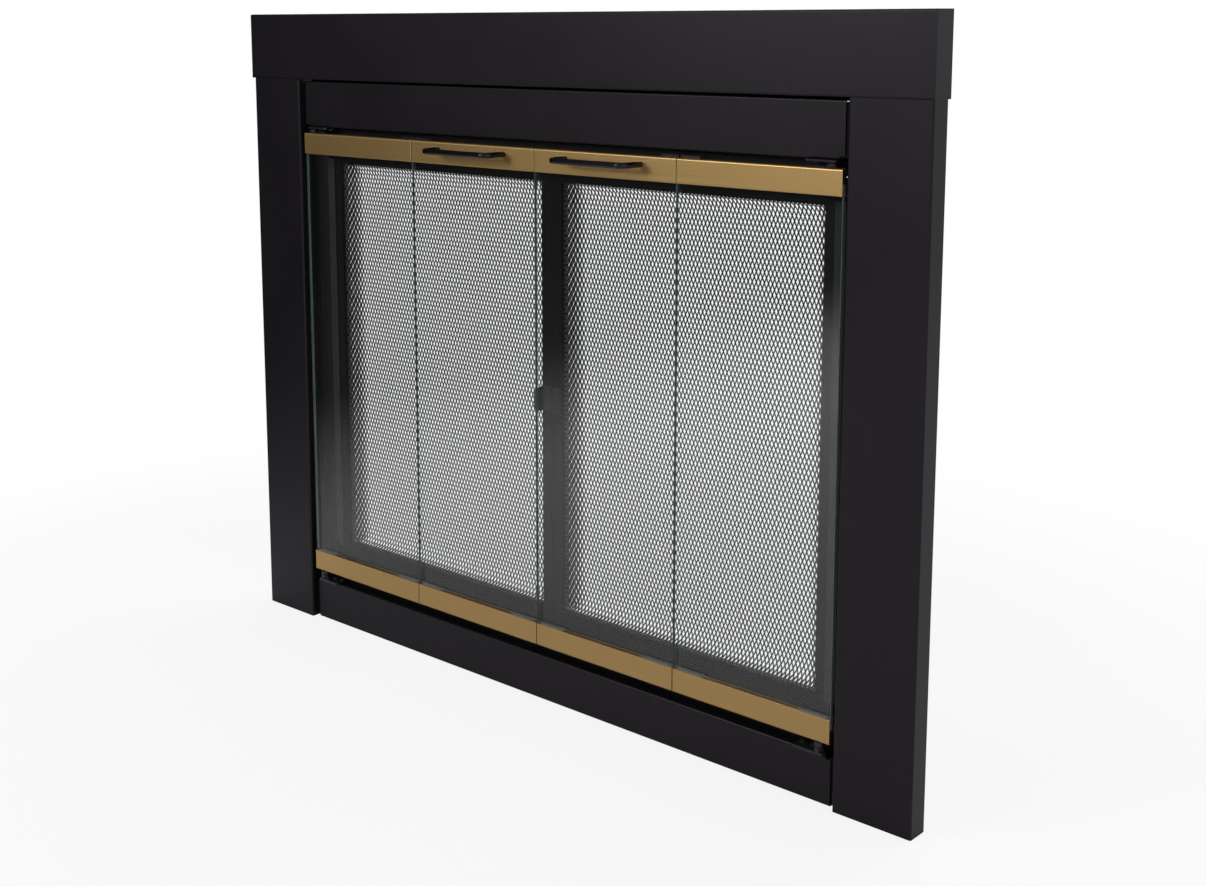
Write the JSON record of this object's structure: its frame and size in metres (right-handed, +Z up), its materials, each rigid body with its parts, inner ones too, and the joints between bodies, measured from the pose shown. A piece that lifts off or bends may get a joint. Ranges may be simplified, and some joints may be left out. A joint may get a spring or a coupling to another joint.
{
  "type": "fireplace glass door",
  "caption": "Folded steel fireplace surround with bifold frameless glass leaves in gold channel rails, bar handles and hinged mesh gates behind them.",
  "frame": {"origin": "bottom of the surround, in the middle of its width and of the depth from the handles to the lintel clamps", "axes": "+X along the width, to the right of someone who faces the door; +Y from the room into the fireplace; +Z up"},
  "size_m": [0.9524, 0.1052, 0.762],
  "materials": {
    "surround_black": "fine-textured matt black powder coat",
    "liner_black": "matt black",
    "bracket_black": "black oxide, lightly oiled",
    "zinc_steel": "zinc plated",
    "clear_glass": "clear tempered, green edge",
    "satin_gold": "satin antique gold",
    "clear_clip": "clear plastic",
    "handle_black": "semi-gloss black",
    "gate_black": "matt black",
    "mesh_black": "matt black expanded mesh"
  },
  "bodies": {
    "surround": {"header_hood": "surround_black", "left_stile": "surround_black", "right_stile": "surround_black", "bottom_rail": "surround_black", "top_rail": "surround_black", "left_side_liner": "liner_black", "right_side_liner": "liner_black", "bottom_liner": "liner_black", "top_liner": "liner_black", "corner_brackets": "bracket_black", "corner_screws": "zinc_steel", "lintel_clamps": "zinc_steel", "lintel_clamp_screws": "zinc_steel", "lintel_clamp_bolts": "zinc_steel", "hearth_brackets": "zinc_steel", "lower_pivot_brackets": "bracket_black", "upper_pivot_brackets": "bracket_black", "pivot_bracket_screws": "bracket_black", "lower_pivot_studs": "bracket_black"},
    "left_outer_leaf": {"left_outer_glass": "clear_glass", "left_outer_top_channel": "satin_gold", "left_outer_bottom_channel": "satin_gold", "left_outer_setting_clips": "clear_clip", "left_outer_fold_plates": "bracket_black", "left_fold_pins": "bracket_black", "left_pivot_plugs": "bracket_black", "left_pivot_strap": "bracket_black", "left_pivot_nut": "bracket_black"},
    "left_inner_leaf": {"left_inner_glass": "clear_glass", "left_inner_top_channel": "satin_gold", "left_inner_bottom_channel": "satin_gold", "left_inner_setting_clips": "clear_clip", "left_inner_fold_plates": "bracket_black", "left_handle": "handle_black", "left_handle_screws": "zinc_steel"},
    "left_gate": {"left_gate_frame": "gate_black", "left_gate_mesh": "mesh_black", "left_gate_pivots": "gate_black", "left_gate_pull": "gate_black"},
    "right_outer_leaf": {"right_outer_glass": "clear_glass", "right_outer_top_channel": "satin_gold", "right_outer_bottom_channel": "satin_gold", "right_outer_setting_clips": "clear_clip", "right_outer_fold_plates": "bracket_black", "right_fold_pins": "bracket_black", "right_pivot_plugs": "bracket_black", "right_pivot_strap": "bracket_black", "right_pivot_nut": "bracket_black"},
    "right_inner_leaf": {"right_inner_glass": "clear_glass", "right_inner_top_channel": "satin_gold", "right_inner_bottom_channel": "satin_gold", "right_inner_setting_clips": "clear_clip", "right_inner_fold_plates": "bracket_black", "right_handle": "handle_black", "right_handle_screws": "zinc_steel"},
    "right_gate": {"right_gate_frame": "gate_black", "right_gate_mesh": "mesh_black", "right_gate_pivots": "gate_black", "right_gate_pull": "gate_black"}
  },
  "joints": [
    {"name": "right_outer_pivot", "type": "hinge", "parent": "surround", "child": "right_outer_leaf", "pos_m": [0.369, -0.01941, 0.0545], "axis": [0, 0, 1], "range_deg": [0, 85]},
    {"name": "right_fold", "type": "hinge", "parent": "right_outer_leaf", "child": "right_inner_leaf", "pos_m": [0.1915, -0.01261, 0.3416], "axis": [0, 0, 1], "range_deg": [-170, 0]},
    {"name": "right_gate_pivot", "type": "hinge", "parent": "surround", "child": "right_gate", "pos_m": [0.355, 0.01159, 0.072], "axis": [0, 0, -1], "range_deg": [0, 85]},
    {"name": "left_outer_pivot", "type": "hinge", "parent": "surround", "child": "left_outer_leaf", "pos_m": [-0.369, -0.01941, 0.0545], "axis": [0, 0, -1], "range_deg": [0, 85]},
    {"name": "left_fold", "type": "hinge", "parent": "left_outer_leaf", "child": "left_inner_leaf", "pos_m": [-0.1915, -0.01261, 0.3416], "axis": [0, 0, -1], "range_deg": [-170, 0]},
    {"name": "left_gate_pivot", "type": "hinge", "parent": "surround", "child": "left_gate", "pos_m": [-0.355, 0.01159, 0.072], "axis": [0, 0, 1], "range_deg": [0, 85]}
  ],
  "couplings": [
    {"joint": "right_fold", "follows": "right_outer_pivot", "ratio": -2},
    {"joint": "left_fold", "follows": "left_outer_pivot", "ratio": -2}
  ]
}
